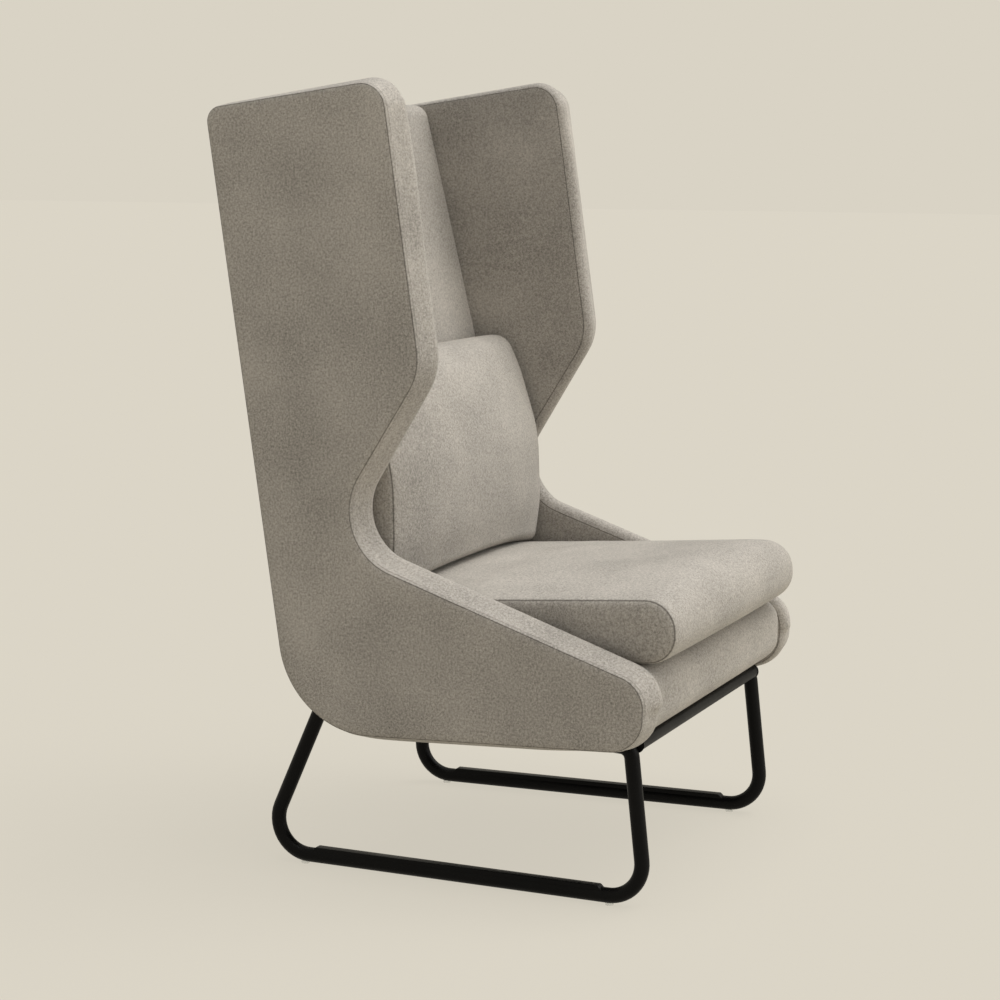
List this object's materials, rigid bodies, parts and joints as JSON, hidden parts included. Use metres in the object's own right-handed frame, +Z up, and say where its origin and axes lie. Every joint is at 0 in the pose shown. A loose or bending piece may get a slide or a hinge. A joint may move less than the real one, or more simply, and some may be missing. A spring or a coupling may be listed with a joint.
{
  "type": "high-back lounge chair",
  "caption": "High-back lounge chair with upholstered wings that screen the sitter, a loose seat and lumbar cushion, and a bent-tube sled base.",
  "frame": {"origin": "on the floor, under the middle of the chair's bounding box", "axes": "+Z up, the chair faces -Y, +X to the chair's left side as the sitter sees it"},
  "size_m": [0.782, 0.8006, 1.3215],
  "materials": {
    "wool_cover": "warm grey melange wool upholstery cloth",
    "foam": "cut polyurethane foam and polyester wadding",
    "plywood": "raw birch plywood",
    "timber": "raw beech",
    "webbing": "woven elastic webbing",
    "dust_cloth": "thin black non-woven cloth",
    "black_tube": "satin black powder coat on steel tube and plate",
    "black_bar": "satin black strip on the runner",
    "clear_glide": "clear moulded plastic",
    "zinc_hardware": "zinc-plated steel"
  },
  "bodies": {
    "chair": {"left_leg_loop": "black_tube", "right_leg_loop": "black_tube", "front_cross_tube": "black_tube", "rear_cross_tube": "black_tube", "left_runner_bar": "black_bar", "right_runner_bar": "black_bar", "glides": "clear_glide", "mounting_plates": "black_tube", "base_bolts": "zinc_hardware", "bolt_washers": "zinc_hardware", "base_inserts": "zinc_hardware", "left_seat_rail": "timber", "right_seat_rail": "timber", "front_rail": "timber", "rear_rail": "timber", "webbing": "webbing", "deck_pad": "foam", "deck_cover": "wool_cover", "front_roll_foam": "foam", "front_roll_cover": "wool_cover", "dust_cover": "dust_cloth", "back_board": "plywood", "left_back_stile": "timber", "right_back_stile": "timber", "back_top_rail": "timber", "back_foam": "foam", "back_cover": "wool_cover", "rear_wadding": "foam", "rear_cover": "wool_cover", "left_side_board": "plywood", "left_edge_foam": "foam", "left_outer_pad": "foam", "left_inner_pad": "foam", "left_edge_band": "wool_cover", "left_outer_cover": "wool_cover", "left_inner_cover": "wool_cover", "right_side_board": "plywood", "right_edge_foam": "foam", "right_outer_pad": "foam", "right_inner_pad": "foam", "right_edge_band": "wool_cover", "right_outer_cover": "wool_cover", "right_inner_cover": "wool_cover", "panel_bolts": "zinc_hardware", "panel_inserts": "zinc_hardware"},
    "seat_cushion": {"seat_cushion_core": "foam", "seat_cushion_cover": "wool_cover", "seat_cushion_left_side": "wool_cover", "seat_cushion_right_side": "wool_cover"},
    "lumbar_cushion": {"lumbar_core": "foam", "lumbar_cover": "wool_cover", "lumbar_left_side": "wool_cover", "lumbar_right_side": "wool_cover"}
  },
  "joints": [
    {"name": "seat_cushion_slide", "type": "slide", "parent": "chair", "child": "seat_cushion", "axis": [0, -0.9973, 0.0732], "range_m": [0, 0.4]},
    {"name": "lumbar_cushion_lift", "type": "slide", "parent": "chair", "child": "lumbar_cushion", "axis": [0, -0.6157, 0.788], "range_m": [0, 0.5]}
  ]
}
